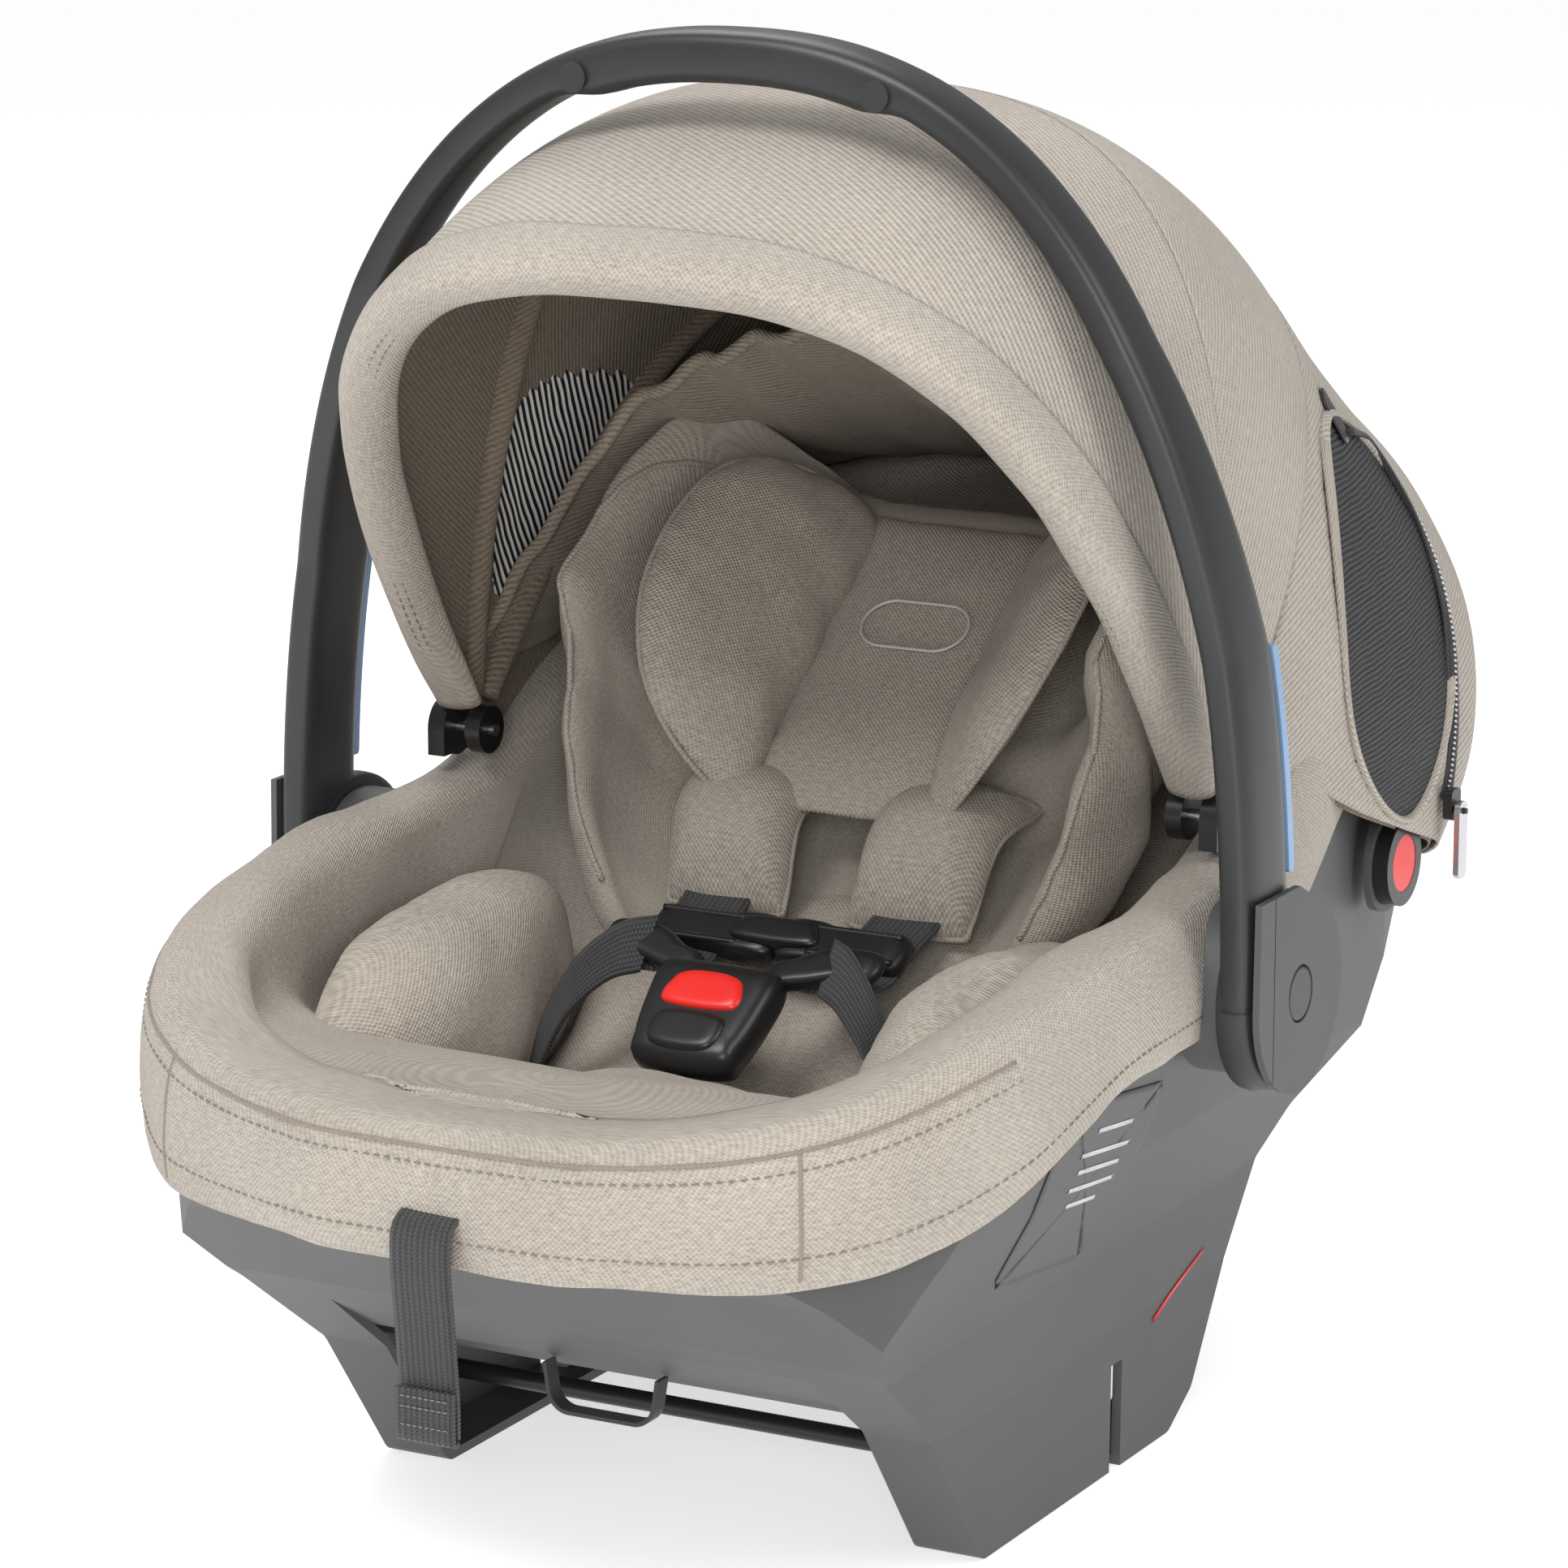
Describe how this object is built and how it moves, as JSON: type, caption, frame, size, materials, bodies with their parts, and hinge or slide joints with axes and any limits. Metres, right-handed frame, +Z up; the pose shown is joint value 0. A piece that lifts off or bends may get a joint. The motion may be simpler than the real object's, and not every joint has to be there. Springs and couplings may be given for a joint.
{
  "type": "infant car seat",
  "caption": "Rear-facing infant carrier seat: moulded shell with carry handle, folding canopy, padded cover, sliding headrest and harness with buckle and chest clip.",
  "frame": {"origin": "middle of the footprint, on the surface the seat stands on", "axes": "+Z up, +Y towards the head end, X across the seat"},
  "size_m": [0.444, 0.6664, 0.577],
  "materials": {
    "shell_plastic": "fine grained moulded polypropylene",
    "handle_plastic": "satin moulded plastic",
    "buckle_plastic": "satin black moulded plastic",
    "cover_fabric": "beige melange basket weave",
    "canopy_fabric": "beige fine twill",
    "mesh": "black sheer mesh",
    "webbing": "black woven polyester webbing",
    "foam": "expanded polypropylene foam",
    "steel": "zinc plated",
    "red_plastic": "bright red moulded plastic",
    "blue_plastic": "light blue moulded plastic",
    "zip_tape": "black zip tape with coil"
  },
  "bodies": {
    "seat": {"adjuster_housing": "buckle_plastic", "adjuster_strap": "webbing", "body_insert": "cover_fabric", "buckle_body": "buckle_plastic", "buckle_tongues": "buckle_plastic", "canopy_rear_bow": "buckle_plastic", "canopy_rear_panel": "canopy_fabric", "canopy_rivets": "steel", "canopy_sockets": "buckle_plastic", "chest_clip_left": "buckle_plastic", "chest_clip_right": "buckle_plastic", "crotch_pad": "cover_fabric", "crotch_strap": "webbing", "elastic_loop": "webbing", "foam_liner": "foam", "handle_hub_left": "buckle_plastic", "handle_hub_right": "buckle_plastic", "handle_pins": "steel", "harness_yoke": "steel", "hip_pad_left": "cover_fabric", "hip_pad_right": "cover_fabric", "lap_straps": "webbing", "latch_rods": "steel", "mesh_windows": "mesh", "pod_caps": "buckle_plastic", "pod_collars": "steel", "pod_discs": "red_plastic", "release_pin": "steel", "seat_cover": "cover_fabric", "shell": "shell_plastic", "shoulder_pad_left": "cover_fabric", "shoulder_pad_right": "cover_fabric", "shoulder_strap_left": "webbing", "shoulder_strap_right": "webbing", "zipper": "zip_tape", "zipper_slider": "steel"},
    "headrest": {"head_support": "cover_fabric", "head_pad": "cover_fabric"},
    "handle": {"handle_arch": "handle_plastic", "handle_cover_left": "handle_plastic", "handle_cover_right": "handle_plastic", "belt_guide_left": "blue_plastic", "belt_guide_right": "blue_plastic", "grip_plugs": "buckle_plastic"},
    "button_left": {"handle_button_left": "handle_plastic"},
    "button_right": {"handle_button_right": "handle_plastic"},
    "canopy_mid": {"canopy_mid_bow": "buckle_plastic", "canopy_mid_panel": "canopy_fabric"},
    "canopy_front": {"canopy_front_bow": "buckle_plastic", "canopy_front_knuckles": "buckle_plastic", "canopy_front_panel": "canopy_fabric", "visor_binding": "canopy_fabric"},
    "buckle_release": {"buckle_button": "red_plastic"},
    "clip_release": {"chest_clip_button": "buckle_plastic"},
    "adjuster": {"adjuster_lever": "buckle_plastic"},
    "base_release": {"release_lever": "buckle_plastic"},
    "zip_pull": {"zipper_pull": "steel"}
  },
  "joints": [
    {"name": "handle_fold", "type": "hinge", "parent": "seat", "child": "handle", "pos_m": [0, -0.055, 0.215], "axis": [1, 0, 0], "range_deg": [-30, 75]},
    {"name": "handle_button_left", "type": "slide", "parent": "handle", "child": "button_left", "axis": [1, 0, 0], "range_m": [0, 0.0035], "stiffness_N_per_m": 900, "springref_m": -0.001},
    {"name": "handle_button_right", "type": "slide", "parent": "handle", "child": "button_right", "axis": [-1, 0, 0], "range_m": [0, 0.0035], "stiffness_N_per_m": 900, "springref_m": -0.001},
    {"name": "canopy_fold", "type": "hinge", "parent": "seat", "child": "canopy_mid", "pos_m": [0, -0.028, 0.273], "axis": [-1, 0, 0], "range_deg": [0, 24], "deforming": ["canopy_mid_panel"]},
    {"name": "canopy_front_fold", "type": "hinge", "parent": "canopy_mid", "child": "canopy_front", "pos_m": [0, -0.028, 0.273], "axis": [-1, 0, 0], "range_deg": [0, 38], "deforming": ["canopy_front_panel"]},
    {"name": "headrest_slide", "type": "slide", "parent": "seat", "child": "headrest", "axis": [0, 0.7986, 0.6018], "range_m": [0, 0.04]},
    {"name": "buckle_press", "type": "slide", "parent": "seat", "child": "buckle_release", "axis": [0, 0.6018, -0.7986], "range_m": [0, 0.003], "stiffness_N_per_m": 1500, "springref_m": -0.001},
    {"name": "clip_press", "type": "slide", "parent": "seat", "child": "clip_release", "axis": [0, 0.6018, -0.7986], "range_m": [0, 0.0018], "stiffness_N_per_m": 800, "springref_m": -0.001},
    {"name": "adjuster_press", "type": "hinge", "parent": "seat", "child": "adjuster", "pos_m": [0, -0.2885, 0.178], "axis": [1, 0, 0], "range_deg": [0, 12], "stiffness_Nm_per_rad": 0.3, "springref_deg": -2.86},
    {"name": "base_release_pull", "type": "hinge", "parent": "seat", "child": "base_release", "pos_m": [0, 0.232, 0.246], "axis": [1, 0, 0], "range_deg": [0, 15], "stiffness_Nm_per_rad": 1, "springref_deg": -5.73},
    {"name": "zip_pull_swing", "type": "hinge", "parent": "seat", "child": "zip_pull", "pos_m": [0.194, 0.168, 0.237], "axis": [1, 0, 0], "range_deg": [-60, 60]}
  ],
  "couplings": [
    {"joint": "canopy_front_fold", "follows": "canopy_fold", "ratio": 1.25}
  ]
}
